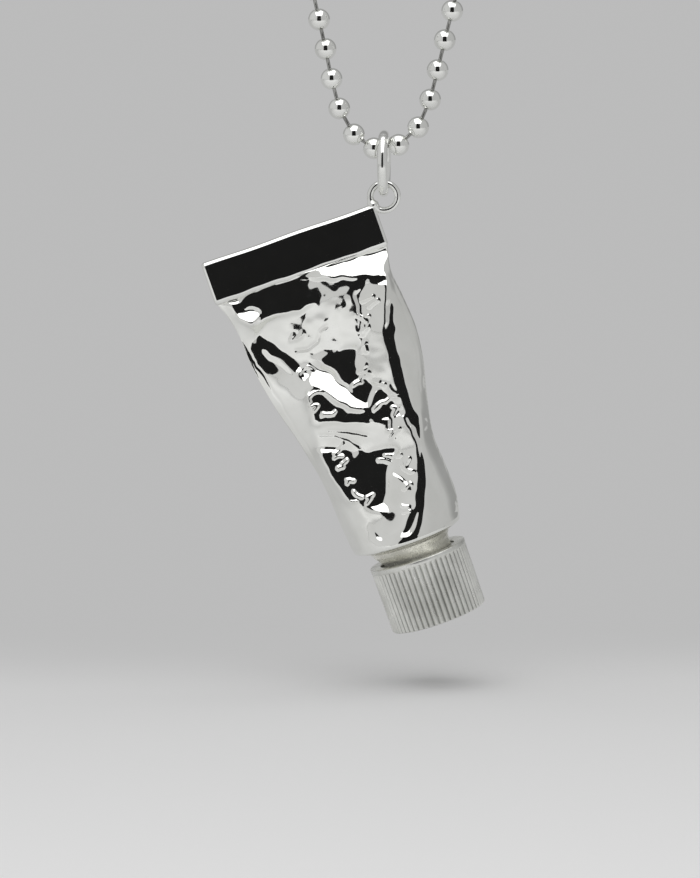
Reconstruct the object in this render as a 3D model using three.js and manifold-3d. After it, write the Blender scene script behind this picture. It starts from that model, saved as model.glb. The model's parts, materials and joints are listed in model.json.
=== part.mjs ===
// A solid silver pendant in the shape of a squeezed paint tube. Its bail ring hangs in a jump ring,
// which hangs on a ball chain held by an eye at each end.
//
// Millimetres, +Z up, and the front faces -Y. The origin is midway between the two end balls of
// the chain, which is where the chain is held.
import * as THREE from "three";
import { mergeVertices } from "three/addons/utils/BufferGeometryUtils.js";
import { RoundedBoxGeometry } from "three/addons/geometries/RoundedBoxGeometry.js";
import Module from "manifold-3d";

const wasm = await Module();
wasm.setup();

// ---- driving dimensions -------------------------------------------------------------------

const BALL_R = 1.22;
const BALL_SHELL = 0.25;
const BALL_HOLE_R = 0.5;
const PIN_R = 0.15;
const PIN_HEAD_R = 0.52;
const PIN_HEAD_T = 0.18;
const PIN_HEAD_AT = 0.6;        // from a ball's centre to the middle of a pin's head

const CHAIN_DROP = 21;          // from the origin down to the chain's lowest link

const CUP_CLEAR = 0.15;         // between the end ball and the cup that holds it
const CUP_WALL = 0.3;
const CUP_LIP_ANGLE = 30;       // degrees below the ball's middle that the cup reaches
const EYE_R = 1.3;
const EYE_WIRE_R = 0.35;

const JUMP_RING_R = 3.14;       // to the middle of the wire
const JUMP_WIRE_R = 0.58;
const JUMP_WIRE_RISE = 1.27;    // of the ring's top wire over the link that it hangs on
const HANG_X = -0.24;           // where the ring settles between the two lowest balls

const BAIL_R = 1.52;
const BAIL_WIRE_R = 0.36;
const BAIL_SEAT = 0.06;         // round the wire, where the band's corner is cut to seat it
const BAIL_DROP = 5.55;         // of the bail ring's centre below the chain's lowest link
const BAIL_X = 9.6;             // the bail ring's centre, seen from the tube's own axis
const BAIL_Z = 46.55;

const TUBE_TILT = 19.2;         // degrees that the tube's top leans to the left as it hangs
const TUBE_TOP = 41.1;
const TUBE_BASE = 10;           // where the shoulder's edge is
const SQUEEZE_LEAN = 0.75;      // how much thicker the squeezed tube is along its right side
const SQUEEZE_FULL = 20;        // the height from which it is all squeezed
const SHOULDER_SHIFT = -0.35;   // of the squeezed shoulder away from the cap's axis
const SHOULDER_R = 6.1;         // of the cone's rim, just inside the squeezed body
const SHOULDER_SEAT = 0.3;      // that the rim reaches up into the body

const BAND_LEFT = -12.05;
const BAND_RIGHT = 8.35;
const BAND_LOW = 41.4;
const BAND_HIGH = 45.95;
const BAND_T = 1.4;
const BAND_EDGE_R = 0.35;

const NECK_R = 3.55;            // the thread's core
const NECK_COLLAR_R = 4;        // the plain neck beside the cap
const NECK_COLLAR_LOW = 7.2;
const NECK_COLLAR_HIGH = 8.6;
const NECK_FLARE_R = 4.6;       // where the neck runs out into the shoulder's cone
const NECK_FLARE_HIGH = 9.3;
const NECK_END = 2.2;
const NECK_END_BEVEL = 0.25;
const NECK_MOUTH_R = 1.4;
const NECK_MOUTH_DEPTH = 2;

const CAP_HEIGHT = 7.6;
const CAP_END_R = 5.46;
const CAP_TOP_R = 5.52;
const CAP_END_BEVEL = 0.22;
const CAP_FLANGE_T = 0.5;
const CAP_FLANGE_R = 5.56;
const CAP_RIBS = 52;
const CAP_RIB_DEPTH = 0.22;
const CAP_RIB_CREST = 0.4;      // the share of a rib's width that its crest takes up
const CAP_FLOOR = 1.1;
const CAP_BORE_R = 4.35;
const SEAL_R = 4.0;
const SEAL_GAP = 0.2;
const SEAL_T = 0.6;

const THREAD_PITCH = 1.6;
const THREAD_RIDGE_R = 0.35;
const THREAD_HIGH = 6.9;        // where both threads stop, short of the cap's mouth
const NECK_THREAD_LOW = 2.95;
const NECK_THREAD_R = 3.6;
const CAP_THREAD_LOW = 3.2;
const CAP_THREAD_R = 4.2;

// Half of the tube's outline on each side, and half its thickness, at heights up its own axis.
const LEFT_EDGE = [
  [10, -6.7], [13, -7], [18.7, -7.4], [23.5, -8.35], [28.5, -9.65], [34, -10.55], [37.5, -10.75],
  [39.5, -11.2], [41.1, -11.85],
];
const RIGHT_EDGE = [
  [10, 5.9], [12.5, 6.4], [16, 6.35], [19.5, 6.15], [23.5, 6.8], [28.6, 7.95], [31.7, 8.25],
  [35.5, 8], [38.7, 7.7], [41.1, 8.2],
];
const HALF_THICKNESS = [
  [10, 6.3], [15, 5.9], [22.7, 4.3], [29, 2.75], [35, 1.6], [37.7, 1.3], [39.5, 1.6], [41.1, 0.95],
];

// The middles of the balls from the left end to the right one: across, and above the lowest link.
const BALL_CENTRES = [
  [-8.87, 20.53], [-8.14, 17.26], [-7.41, 13.99], [-6.7, 10.75],
  [-6.04, 7.47], [-5.19, 4.21], [-3.57, 1.34], [-1.36, -0.19],
  [1.36, 0.19], [3.53, 2.13], [4.85, 5.18], [5.67, 8.43],
  [6.45, 11.72], [7.26, 14.94], [8.06, 18.2], [8.87, 21.47],
];

// ---- materials ----------------------------------------------------------------------------

function silver(name, color, roughness) {
  return new THREE.MeshStandardMaterial({ name, color, roughness, metalness: 1 });
}

const polishedSilver = silver("polished silver", 0xd6d6d4, 0.08);
const satinSilver = silver("satin silver", 0xb9b9b6, 0.32);
const chainSilver = silver("chain silver", 0xcfcfce, 0.12);
const sealMaterial = new THREE.MeshStandardMaterial({
  name: "seal", color: 0xe4e0d6, roughness: 0.6, metalness: 0,
});

// ---- helpers ------------------------------------------------------------------------------

function radians(degrees) {
  return THREE.MathUtils.degToRad(degrees);
}

// A lathe geometry turns about Y, so it is laid over to turn about Z. Points are [radius, height].
function turned(profile, segments) {
  const points = profile.map(([radius, height]) => new THREE.Vector2(radius, height));
  return new THREE.LatheGeometry(points, segments).rotateX(Math.PI / 2);
}

function solid(geometry) {
  const bare = geometry.clone();
  bare.deleteAttribute("normal");
  bare.deleteAttribute("uv");
  const merged = mergeVertices(bare, 1e-4);
  return new wasm.Manifold(new wasm.Mesh({
    numProp: 3,
    vertProperties: Float32Array.from(merged.attributes.position.array),
    triVerts: Uint32Array.from(merged.index.array),
  }));
}

function geometryOf(manifold) {
  const mesh = manifold.getMesh();
  const geometry = new THREE.BufferGeometry();
  geometry.setAttribute("position", new THREE.BufferAttribute(mesh.vertProperties, 3));
  geometry.setIndex(new THREE.BufferAttribute(mesh.triVerts, 1));
  geometry.computeVertexNormals();
  return geometry;
}

function named(name, geometry, material) {
  const mesh = new THREE.Mesh(geometry, material);
  mesh.name = name;
  return mesh;
}

// A smooth curve through [height, value] pairs.
function curveThrough(pairs) {
  const heights = pairs.map(([height]) => height);
  const values = pairs.map(([, value]) => value);
  const curve = new THREE.CubicInterpolant(heights, values, 1);
  return (height) => curve.evaluate(height)[0];
}

// A round ridge wound about Z, for the threads.
class Helix extends THREE.Curve {
  constructor(radius, low, high, phase) {
    super();
    this.radius = radius;
    this.low = low;
    this.high = high;
    this.phase = phase;
  }

  getPoint(t, target = new THREE.Vector3()) {
    const height = this.low + (this.high - this.low) * t;
    const angle = this.phase + (2 * Math.PI * height) / THREAD_PITCH;
    return target.set(this.radius * Math.cos(angle), this.radius * Math.sin(angle), height);
  }
}

function threadRidge(radius, low, high, phase) {
  const section = new THREE.Shape().absarc(0, 0, THREAD_RIDGE_R, 0, 2 * Math.PI);
  const turns = (high - low) / THREAD_PITCH;
  return new THREE.ExtrudeGeometry(section, {
    steps: Math.round(turns * 16),
    curveSegments: 3,
    extrudePath: new Helix(radius, low, high, phase),
  });
}

// ---- the chain ----------------------------------------------------------------------------

const ballCentres = BALL_CENTRES.map(([x, z]) => new THREE.Vector3(x, 0, z - CHAIN_DROP));

// Turns a piece made about +Z so that its +Z points along a direction.
function aim(mesh, direction) {
  mesh.quaternion.setFromUnitVectors(new THREE.Vector3(0, 0, 1), direction.clone().normalize());
  return mesh;
}

function arc(radius, fromAngle, toAngle, steps) {
  return Array.from({ length: steps + 1 }, (_, i) => {
    const angle = fromAngle + ((toAngle - fromAngle) * i) / steps;
    return [radius * Math.cos(angle), radius * Math.sin(angle)];
  });
}

// A hollow ball with a hole at each end of its own Z axis.
function ballGeometry() {
  const inner = BALL_R - BALL_SHELL;
  const outerEdge = Math.acos(BALL_HOLE_R / BALL_R);
  const innerEdge = Math.acos(BALL_HOLE_R / inner);
  const outline = [
    ...arc(BALL_R, -outerEdge, outerEdge, 6),
    ...arc(inner, innerEdge, -innerEdge, 3),
  ];
  return turned([...outline, outline[0]], 12);
}

// A bar with a flat head at each end, reaching into the two balls that it joins.
function pinGeometry(centreDistance) {
  const head = centreDistance / 2 - PIN_HEAD_AT;
  const out = head + PIN_HEAD_T / 2;
  const neck = head - PIN_HEAD_T / 2;
  return turned([
    [0, -out], [PIN_HEAD_R, -out], [PIN_HEAD_R, -neck], [PIN_R, -neck],
    [PIN_R, neck], [PIN_HEAD_R, neck], [PIN_HEAD_R, out], [0, out],
  ], 8);
}

function chain() {
  const group = new THREE.Group();
  const last = ballCentres.length - 1;
  const ball = ballGeometry();
  ballCentres.forEach((centre, i) => {
    const before = ballCentres[Math.max(i - 1, 0)];
    const after = ballCentres[Math.min(i + 1, last)];
    const mesh = named(`chain_ball_${i + 1}`, ball, chainSilver);
    mesh.position.copy(centre);
    group.add(aim(mesh, after.clone().sub(before)));
  });
  for (let i = 0; i < last; i += 1) {
    const step = ballCentres[i + 1].clone().sub(ballCentres[i]);
    const mesh = named(`chain_pin_${i + 1}`, pinGeometry(step.length()), chainSilver);
    mesh.position.copy(ballCentres[i]).addScaledVector(step, 0.5);
    group.add(aim(mesh, step));
  }
  return group;
}

// A cup that closes round the end ball from above, with an eye on top of it.
function chainEnd(name, endBall, nextBall) {
  const inner = BALL_R + CUP_CLEAR;
  const outer = inner + CUP_WALL;
  const lip = -radians(CUP_LIP_ANGLE);
  const cup = turned([
    ...arc(inner, Math.PI / 2, lip, 5),
    ...arc(outer, lip, Math.PI / 2, 5),
  ], 16);
  const eye = new THREE.TorusGeometry(EYE_R, EYE_WIRE_R, 8, 16).rotateX(Math.PI / 2);
  eye.translate(0, 0, outer + EYE_R);
  const mesh = named(name, geometryOf(solid(cup).add(solid(eye))), chainSilver);
  mesh.position.copy(endBall);
  return aim(mesh, endBall.clone().sub(nextBall));
}

// ---- the rings ----------------------------------------------------------------------------

// The jump ring stands in the plane across the chain, so its axis is X.
function jumpRing() {
  const ring = new THREE.TorusGeometry(JUMP_RING_R, JUMP_WIRE_R, 10, 28).rotateY(Math.PI / 2);
  const mesh = named("jump_ring", ring, polishedSilver);
  mesh.position.set(HANG_X, 0, -CHAIN_DROP + JUMP_WIRE_RISE - JUMP_RING_R);
  return mesh;
}

// The bail ring lies in the plane of the tube's face.
function bailGeometry(wireRadius) {
  const ring = new THREE.TorusGeometry(BAIL_R, wireRadius, 8, 20).rotateX(Math.PI / 2);
  return ring.translate(BAIL_X, 0, BAIL_Z);
}

function bailRing() {
  return named("bail_ring", bailGeometry(BAIL_WIRE_R), polishedSilver);
}

// ---- the tube -----------------------------------------------------------------------------

// The squeezed body: a cylinder whose sections are pulled to the outline and flattened upwards.
function bodyGeometry() {
  const left = curveThrough(LEFT_EDGE);
  const right = curveThrough(RIGHT_EDGE);
  const thickness = curveThrough(HALF_THICKNESS);
  const height = TUBE_TOP - TUBE_BASE;
  const geometry = new THREE.CylinderGeometry(1, 1, height, 32, 16).rotateX(Math.PI / 2);
  geometry.translate(0, 0, (TUBE_TOP + TUBE_BASE) / 2);
  const position = geometry.attributes.position;
  for (let i = 0; i < position.count; i += 1) {
    const z = position.getZ(i);
    const middle = (left(z) + right(z)) / 2;
    const half = (right(z) - left(z)) / 2;
    const lean = SQUEEZE_LEAN * THREE.MathUtils.smoothstep(z, TUBE_BASE, SQUEEZE_FULL);
    const across = position.getX(i);
    position.setX(i, middle + half * across);
    position.setY(i, thickness(z) * position.getY(i) * (1 + lean * across));
  }
  return geometry;
}

// The shoulder's shallow cone and the neck, leaning over to meet the squeezed body.
function neckGeometry() {
  const mouthTop = NECK_END + NECK_MOUTH_DEPTH;
  const rim = TUBE_BASE + SHOULDER_SEAT;
  const geometry = turned([
    [0, mouthTop], [NECK_MOUTH_R, mouthTop], [NECK_MOUTH_R, NECK_END],
    [NECK_R - NECK_END_BEVEL, NECK_END], [NECK_R, NECK_END + NECK_END_BEVEL],
    [NECK_R, NECK_COLLAR_LOW], [NECK_COLLAR_R, CAP_HEIGHT], [NECK_COLLAR_R, NECK_COLLAR_HIGH],
    [NECK_FLARE_R, NECK_FLARE_HIGH], [SHOULDER_R, TUBE_BASE], [SHOULDER_R, rim], [0, rim],
  ], 32);
  const position = geometry.attributes.position;
  const bend = NECK_COLLAR_HIGH - NECK_COLLAR_LOW;
  for (let i = 0; i < position.count; i += 1) {
    const along = THREE.MathUtils.clamp((position.getZ(i) - NECK_COLLAR_LOW) / bend, 0, 1);
    position.setX(i, position.getX(i) + SHOULDER_SHIFT * along);
  }
  return geometry;
}

function tubeBody() {
  const thread = threadRidge(NECK_THREAD_R, NECK_THREAD_LOW, THREAD_HIGH, 0);
  const body = solid(bodyGeometry()).add(solid(neckGeometry())).add(solid(thread));
  return named("tube_body", geometryOf(body), polishedSilver);
}

// The tube's flattened end, folded over into a flat band, with one corner cut to seat the ring.
function foldBand() {
  const width = BAND_RIGHT - BAND_LEFT;
  const height = BAND_HIGH - BAND_LOW;
  const band = new RoundedBoxGeometry(width, BAND_T, height, 2, BAND_EDGE_R);
  band.translate((BAND_LEFT + BAND_RIGHT) / 2, 0, (BAND_LOW + BAND_HIGH) / 2);
  const seat = solid(bailGeometry(BAIL_WIRE_R + BAIL_SEAT));
  return named("fold_band", geometryOf(solid(band).subtract(seat)), polishedSilver);
}

// ---- the cap ------------------------------------------------------------------------------

// The grip: an outline of flat-topped ribs, widening a little from the end to the flange.
function gripGeometry() {
  const ribWidth = (2 * Math.PI) / CAP_RIBS;
  const valley = CAP_END_R - CAP_RIB_DEPTH;
  const crestFrom = (1 - CAP_RIB_CREST) / 2;
  const crestTo = (1 + CAP_RIB_CREST) / 2;
  const outline = [];
  for (let rib = 0; rib < CAP_RIBS; rib += 1) {
    for (const [turn, radius] of [[0, valley], [crestFrom, CAP_END_R], [crestTo, CAP_END_R]]) {
      const angle = (rib + turn) * ribWidth;
      outline.push(new THREE.Vector2(radius * Math.cos(angle), radius * Math.sin(angle)));
    }
  }
  const flangeLow = CAP_HEIGHT - CAP_FLANGE_T;
  const geometry = new THREE.ExtrudeGeometry(new THREE.Shape(outline), {
    depth: flangeLow - CAP_END_BEVEL,
    bevelEnabled: false,
  });
  geometry.translate(0, 0, CAP_END_BEVEL);
  const position = geometry.attributes.position;
  for (let i = 0; i < position.count; i += 1) {
    const scale = 1 + ((CAP_TOP_R - CAP_END_R) / CAP_END_R) * (position.getZ(i) / CAP_HEIGHT);
    position.setX(i, position.getX(i) * scale);
    position.setY(i, position.getY(i) * scale);
  }
  return geometry;
}

function screwCap() {
  const flangeLow = CAP_HEIGHT - CAP_FLANGE_T;
  const core = CAP_END_R - CAP_RIB_DEPTH;
  const shell = turned([
    [0, 0], [core - CAP_END_BEVEL, 0], [core, CAP_END_BEVEL], [core, flangeLow],
    [CAP_FLANGE_R, flangeLow], [CAP_FLANGE_R, CAP_HEIGHT], [0, CAP_HEIGHT],
  ], CAP_RIBS);
  const bore = turned([
    [0, CAP_FLOOR], [CAP_BORE_R, CAP_FLOOR], [CAP_BORE_R, CAP_HEIGHT + 1], [0, CAP_HEIGHT + 1],
  ], 32);
  const ridge = threadRidge(CAP_THREAD_R, CAP_THREAD_LOW, THREAD_HIGH, Math.PI);
  const cap = solid(shell).add(solid(gripGeometry())).subtract(solid(bore)).add(solid(ridge));
  return named("screw_cap", geometryOf(cap), satinSilver);
}

function capSeal() {
  const low = CAP_FLOOR + SEAL_GAP;
  const seal = turned([[0, low], [SEAL_R, low], [SEAL_R, low + SEAL_T], [0, low + SEAL_T]], 28);
  return named("cap_seal", seal, sealMaterial);
}

// ---- the whole pendant --------------------------------------------------------------------

// The tube is built about its own axis from the cap's end, then hung by its bail ring.
function pendant() {
  const tube = new THREE.Group();
  tube.add(tubeBody(), foldBand(), bailRing(), screwCap(), capSeal());
  tube.position.set(-BAIL_X, 0, -BAIL_Z);
  const hung = new THREE.Group();
  hung.add(tube);
  hung.rotation.y = -radians(TUBE_TILT);
  hung.position.set(HANG_X, 0, -CHAIN_DROP - BAIL_DROP);
  return hung;
}

const model = new THREE.Group();
const [leftEnd, leftNext] = ballCentres;
const [rightNext, rightEnd] = ballCentres.slice(-2);
model.add(
  chainEnd("left_end_eye", leftEnd, leftNext),
  chainEnd("right_end_eye", rightEnd, rightNext),
  chain(),
  jumpRing(),
  pendant(),
);

export default model;
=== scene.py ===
"""Looks for a silver pendant in the shape of a squeezed paint tube, on a ball chain.

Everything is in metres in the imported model's frame: +Z up, front towards -Y.
The tube's own frame has its origin at the middle of the cap's outer end and its z along the tube,
and lengths in that frame are in millimetres until they are placed.
"""
import json
import math

import bpy
import numpy as np
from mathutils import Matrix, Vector


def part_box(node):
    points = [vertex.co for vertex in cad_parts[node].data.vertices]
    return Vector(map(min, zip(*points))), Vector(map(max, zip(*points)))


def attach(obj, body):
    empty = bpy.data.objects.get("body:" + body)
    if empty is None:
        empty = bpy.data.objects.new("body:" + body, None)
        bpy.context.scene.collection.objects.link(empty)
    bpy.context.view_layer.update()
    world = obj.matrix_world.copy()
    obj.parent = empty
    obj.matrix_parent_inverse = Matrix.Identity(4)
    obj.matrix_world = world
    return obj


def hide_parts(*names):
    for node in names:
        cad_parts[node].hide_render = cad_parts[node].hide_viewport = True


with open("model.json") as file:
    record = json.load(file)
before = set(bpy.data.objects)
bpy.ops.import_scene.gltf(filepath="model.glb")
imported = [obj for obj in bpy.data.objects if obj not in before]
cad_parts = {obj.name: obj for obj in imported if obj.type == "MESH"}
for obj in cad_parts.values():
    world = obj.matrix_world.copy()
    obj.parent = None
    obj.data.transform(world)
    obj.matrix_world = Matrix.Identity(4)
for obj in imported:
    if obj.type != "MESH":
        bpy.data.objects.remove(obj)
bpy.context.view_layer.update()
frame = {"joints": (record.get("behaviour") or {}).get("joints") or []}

MM = 0.001
joints = {j["name"]: j for j in frame["joints"]}
LINK = Vector(joints["jump_ring_swing"]["pos_m"])        # the chain's lowest link
BAIL = Vector(joints["pendant_swing"]["pos_m"])          # the middle of the bail ring
CAP_END = Vector(joints["cap_turn"]["pos_m"])            # the middle of the cap's outer end
TUBE_UP = -Vector(joints["cap_turn"]["axis"]).normalized()
TUBE_RIGHT = Vector((TUBE_UP.z, 0, -TUBE_UP.x))
TILT = math.atan2(-TUBE_UP.x, TUBE_UP.z)

# ---- sizes, in millimetres ------------------------------------------------------------------

BALL_R = 1.22
BALL_HOLE_R = 0.4            # where the ball is turned in round the bar
PIN_R = 0.2
PIN_SWELL = 0.12
PIN_END = 0.5                # from a ball's centre to the end of its bar, out of sight inside

CUP_INNER_R = 1.37
CUP_OUTER_R = 1.67
EYE_R = 1.3
EYE_WIRE_R = 0.35

JUMP_RING_R = 3.14
JUMP_WIRE_R = 0.58
JUMP_RING_TURN = math.radians(-4)        # out of square to the chain, about the vertical
BAIL_R = 1.52
BAIL_WIRE_R = 0.36

TUBE_TOP = 41.6
TUBE_BASE = 10.0
SQUEEZE_LEAN = 0.75
SQUEEZE_FULL = 20.0
SHOULDER_SHIFT = -0.35
BASE_SHIFT = -0.4
BASE_R = 6.3

BAND_LEFT = -12.05
BAND_RIGHT = 8.35
BAND_LOW = 41.16
BAND_HIGH = 46.2
BAND_T = 1.4
BAND_FOLD_R = 0.62
BAND_END_R = 0.36

NECK_R = 3.55
NECK_COLLAR_R = 3.95
NECK_FLARE_R = 4.68
NECK_FLARE_HIGH = 9.25
NECK_END = 2.2
NECK_MOUTH_R = 1.4
NECK_MOUTH_DEPTH = 2.0
THREAD_PITCH = 1.6
THREAD_RISE = 0.36

CAP_HEIGHT = 7.6
CAP_END_R = 5.46
CAP_TOP_R = 5.52
CAP_END_BEVEL = 0.22
CAP_FLANGE_T = 0.5
CAP_FLANGE_R = 5.56
CAP_RIBS = 52
CAP_RIB_DEPTH = 0.24
CAP_FLOOR = 1.1
CAP_BORE_R = 4.35
SEAL_R = 4.0
SEAL_LOW = 1.3
SEAL_T = 0.6

LEFT_EDGE = [
    (10, -6.7), (13, -7.0), (18.7, -7.4), (23.5, -8.35), (28.5, -9.65), (34, -10.55), (37.5, -10.75),
    (39.5, -11.2), (41.6, -11.95),
]
RIGHT_EDGE = [
    (10, 5.9), (12.5, 6.4), (16, 6.35), (19.5, 6.15), (23.5, 6.8), (28.6, 7.95), (31.7, 8.25), (35.5, 8.0),
    (38.7, 7.7), (41.6, 8.25),
]
HALF_THICKNESS = [
    (10, 6.3), (15, 5.9), (22.7, 4.3), (29, 2.75), (35, 1.6), (37.7, 1.3), (39.5, 1.6), (41.6, 0.6),
]

# The middles of the balls from the left end to the right one: across, and above the lowest link.
BALL_CENTRES = [
    (-8.87, 20.53), (-8.14, 17.26), (-7.41, 13.99), (-6.7, 10.75),
    (-6.04, 7.47), (-5.19, 4.21), (-3.57, 1.34), (-1.36, -0.19),
    (1.36, 0.19), (3.53, 2.13), (4.85, 5.18), (5.67, 8.43),
    (6.45, 11.72), (7.26, 14.94), (8.06, 18.2), (8.87, 21.47),
]

# ---- the camera -----------------------------------------------------------------------------

VIEW_HEIGHT = 0.098          # metres that the picture's height covers where the pendant hangs
SENSOR_WIDTH = 36
CAMERA_DISTANCE = 0.45
CAMERA_ELEVATION = math.radians(7)
LOOK_AT = LINK + Vector((-4.0, 0, -32.6)) * MM


def make_camera():
    """The camera looks a little down at the pendant from the front."""
    data = bpy.data.cameras.new("camera")
    data.sensor_width = SENSOR_WIDTH
    data.lens = SENSOR_WIDTH * CAMERA_DISTANCE / VIEW_HEIGHT
    data.clip_start = 0.01
    data.clip_end = 20
    camera = bpy.data.objects.new("camera", data)
    toward = Vector((0, -math.cos(CAMERA_ELEVATION), math.sin(CAMERA_ELEVATION)))
    camera.location = LOOK_AT + toward * CAMERA_DISTANCE
    camera.rotation_euler = (math.pi / 2 - CAMERA_ELEVATION, 0, 0)
    bpy.context.scene.collection.objects.link(camera)
    bpy.context.scene.camera = camera


make_camera()

# ---- mesh helpers ---------------------------------------------------------------------------


def curve_through(pairs):
    """A smooth curve through (height, value) pairs, as a function of an array of heights."""
    h = np.array([p[0] for p in pairs], float)
    v = np.array([p[1] for p in pairs], float)
    slope = np.gradient(v, h)

    def value(at):
        at = np.clip(at, h[0], h[-1])
        i = np.clip(np.searchsorted(h, at) - 1, 0, len(h) - 2)
        span = h[i + 1] - h[i]
        t = (at - h[i]) / span
        a = (1 + 2 * t) * (1 - t) ** 2 * v[i] + t * (1 - t) ** 2 * span * slope[i]
        b = t * t * (3 - 2 * t) * v[i + 1] + t * t * (t - 1) * span * slope[i + 1]
        return a + b

    return value


def smoothstep(x, low, high):
    """0 below low and 1 above high, with a smooth rise between."""
    t = np.clip((x - low) / (high - low), 0, 1)
    return t * t * (3 - 2 * t)


def in_tube_frame(points):
    """Points of the tube's own frame, in millimetres, as points of the model, in metres."""
    points = np.asarray(points, float) * MM
    right, up, origin = np.array(TUBE_RIGHT), np.array(TUBE_UP), np.array(CAP_END)
    back = np.array((0.0, 1.0, 0.0))
    return origin + points[..., :1] * right + points[..., 1:2] * back + points[..., 2:3] * up


def ring_faces(rows, columns, closed_profile):
    faces = []
    last = rows if closed_profile else rows - 1
    for r in range(last):
        low, high = r * columns, ((r + 1) % rows) * columns
        for c in range(columns):
            d = (c + 1) % columns
            faces.append((low + c, low + d, high + d, high + c))
    return faces


def ring_stack(rings):
    """Vertices and faces of rings joined in turn, with each end closed by a fan of triangles."""
    rings = np.asarray(rings, float)
    rows, columns = rings.shape[:2]
    faces = ring_faces(rows, columns, False)
    start = rows * columns
    end = start + 1
    top = start - columns
    for c in range(columns):
        d = (c + 1) % columns
        faces.append((start, d, c))
        faces.append((end, top + c, top + d))
    return np.vstack([rings.reshape(-1, 3), rings[0].mean(0), rings[-1].mean(0)]), faces


def turned(profile, columns):
    """A profile of (radius, height) turned about Z."""
    angle = np.linspace(0, 2 * math.pi, columns, endpoint=False)
    profile = np.asarray(profile, float)
    rings = np.empty((len(profile), columns, 3))
    rings[..., 0] = profile[:, :1] * np.cos(angle)
    rings[..., 1] = profile[:, :1] * np.sin(angle)
    rings[..., 2] = profile[:, 1:2]
    return ring_stack(rings)


def torus(radius, wire, around, across, wire_at=None):
    """A ring about Z. wire_at gives the wire's thickness, as a share, at each angle round the ring."""
    angle = np.linspace(0, 2 * math.pi, around, endpoint=False)
    turn = np.linspace(0, 2 * math.pi, across, endpoint=False)
    share = np.ones(around) if wire_at is None else wire_at(angle)
    reach = radius + wire * np.cos(turn)[:, None] * share
    rings = np.empty((across, around, 3))
    rings[..., 0] = reach * np.cos(angle)
    rings[..., 1] = reach * np.sin(angle)
    rings[..., 2] = wire * np.sin(turn)[:, None] * share
    return rings.reshape(-1, 3), ring_faces(across, around, True)


def aimed(points, direction):
    """Points made about +Z, turned so that +Z points along a direction."""
    turn = Vector((0, 0, 1)).rotation_difference(Vector(direction)).to_matrix()
    return points @ np.array(turn).T


def joined(parts):
    """Several (points, faces) as one."""
    points, faces, count = [], [], 0
    for p, f in parts:
        points.append(p)
        faces.extend(tuple(i + count for i in face) for face in f)
        count += len(p)
    return np.vstack(points), faces


def piece(name, points, faces, materials, body, replaced, face_material=None):
    """A smooth-shaded visible piece that rides a body and stands for CAD nodes."""
    mesh = bpy.data.meshes.new(name)
    mesh.from_pydata(np.asarray(points).tolist(), [], faces)
    mesh.polygons.foreach_set("use_smooth", np.ones(len(mesh.polygons), bool))
    for material in materials:
        mesh.materials.append(material)
    if face_material is not None:
        mesh.polygons.foreach_set("material_index", np.asarray(face_material, np.int32))
    mesh.update()
    obj = bpy.data.objects.new(name, mesh)
    bpy.context.scene.collection.objects.link(obj)
    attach(obj, body)
    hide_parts(*replaced)
    return obj


# ---- materials ------------------------------------------------------------------------------


class Nodes:
    """A short way to lay out one Principled material."""

    def __init__(self, name):
        self.material = bpy.data.materials.new(name)
        self.material.use_nodes = True
        self.tree = self.material.node_tree
        self.shader = self.tree.nodes["Principled BSDF"]
        self.place = self.tree.nodes.new("ShaderNodeTexCoord").outputs["Object"]

    def noise(self, scale, detail=4, roughness=0.55, stretch=None):
        """Noise, drawn out along the tube's own axes where stretch scales them unequally."""
        node = self.tree.nodes.new("ShaderNodeTexNoise")
        node.inputs["Scale"].default_value = scale
        node.inputs["Detail"].default_value = detail
        node.inputs["Roughness"].default_value = roughness
        place = self.place
        if stretch is not None:
            mapping = self.tree.nodes.new("ShaderNodeMapping")
            mapping.inputs["Scale"].default_value = stretch
            mapping.inputs["Rotation"].default_value = (0, TILT, 0)
            self.tree.links.new(place, mapping.inputs["Vector"])
            place = mapping.outputs["Vector"]
        self.tree.links.new(place, node.inputs["Vector"])
        return node.outputs["Fac"]

    def ramp(self, source, low, high, at=(0.35, 0.65)):
        node = self.tree.nodes.new("ShaderNodeValToRGB")
        node.color_ramp.elements[0].position = at[0]
        node.color_ramp.elements[1].position = at[1]
        node.color_ramp.elements[0].color = (*low, 1)
        node.color_ramp.elements[1].color = (*high, 1)
        self.tree.links.new(source, node.inputs["Fac"])
        return node.outputs["Color"]

    def grey_ramp(self, source, low, high, at=(0.35, 0.65)):
        return self.ramp(source, (low,) * 3, (high,) * 3, at)

    def bump(self, source, strength, distance, below=None):
        """A bump of so many metres, laid over another one."""
        node = self.tree.nodes.new("ShaderNodeBump")
        node.inputs["Strength"].default_value = strength
        node.inputs["Distance"].default_value = distance
        self.tree.links.new(source, node.inputs["Height"])
        if below is not None:
            self.tree.links.new(below, node.inputs["Normal"])
        return node.outputs["Normal"]

    def set(self, **links):
        """Drive the shader's sockets, whose names are given with underscores for spaces."""
        for socket, source in links.items():
            self.tree.links.new(source, self.shader.inputs[socket.replace("_", " ")])


def silver(name, dark, bright, rough_low, rough_high, grain, grain_depth):
    """Solid silver: colour and polish vary over a few millimetres, with a fine grain on top."""
    n = Nodes(name)
    n.shader.inputs["Metallic"].default_value = 1.0
    n.set(Base_Color=n.ramp(n.noise(260, 3), dark, bright))
    n.set(Roughness=n.grey_ramp(n.noise(900, 5, 0.65), rough_low, rough_high))
    n.set(Normal=n.bump(n.noise(grain, 3), 0.35, grain_depth))
    return n


def polished_silver():
    n = silver("polished_silver", (0.87, 0.875, 0.84), (0.94, 0.945, 0.915), 0.02, 0.06, 1500, 3e-6)
    return n.material


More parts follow.
